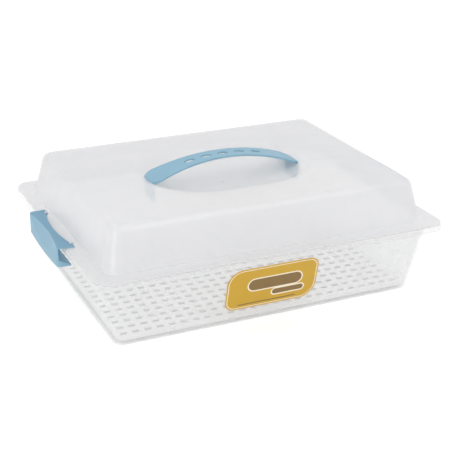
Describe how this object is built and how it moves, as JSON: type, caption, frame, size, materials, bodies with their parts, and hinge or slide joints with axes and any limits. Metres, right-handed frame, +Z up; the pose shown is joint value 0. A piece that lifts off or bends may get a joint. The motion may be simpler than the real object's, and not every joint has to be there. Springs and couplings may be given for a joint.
{
  "type": "cake carrier with hinged lid",
  "caption": "Rectangular translucent cake carrier: tub with a slotted rack inside, domed lid that swings on a latch clip, arched strap handle over a finger recess and C-shaped side clips.",
  "frame": {"origin": "middle of the tub's underside, on the table", "axes": "+X along the length towards the clip that stands open, +Y towards the back, +Z up"},
  "size_m": [0.4789, 0.352, 0.1623],
  "materials": {
    "tub_plastic": "milky translucent polypropylene, satin",
    "rack_plastic": "milky translucent polypropylene, satin",
    "lid_plastic": "milky translucent polypropylene, satin",
    "blue_plastic": "light blue polypropylene, satin",
    "label_film": "printed self-adhesive label, plain gold"
  },
  "bodies": {
    "tub": {"base_tub": "tub_plastic", "front_label": "label_film"},
    "rack": {"cooling_rack": "rack_plastic"},
    "lid": {"lid": "lid_plastic", "carry_handle": "blue_plastic"},
    "clip_left": {"clip_left": "blue_plastic"},
    "clip_right": {"clip_right": "blue_plastic"}
  },
  "joints": [
    {"name": "lid_hinge", "type": "hinge", "parent": "tub", "child": "lid", "pos_m": [-0.225, 0, 0.0795], "axis": [0, -1, 0], "range_deg": [0, 95]},
    {"name": "clip_left_swing", "type": "hinge", "parent": "lid", "child": "clip_left", "pos_m": [-0.2148, 0, 0.0956], "axis": [0, 1, 0], "range_deg": [0, 95]},
    {"name": "clip_right_swing", "type": "hinge", "parent": "lid", "child": "clip_right", "pos_m": [0.2148, 0, 0.0956], "axis": [0, -1, 0], "range_deg": [-80, 15]},
    {"name": "rack_lift", "type": "slide", "parent": "tub", "child": "rack", "axis": [0, 0, 1], "range_m": [0, 0.08]}
  ]
}
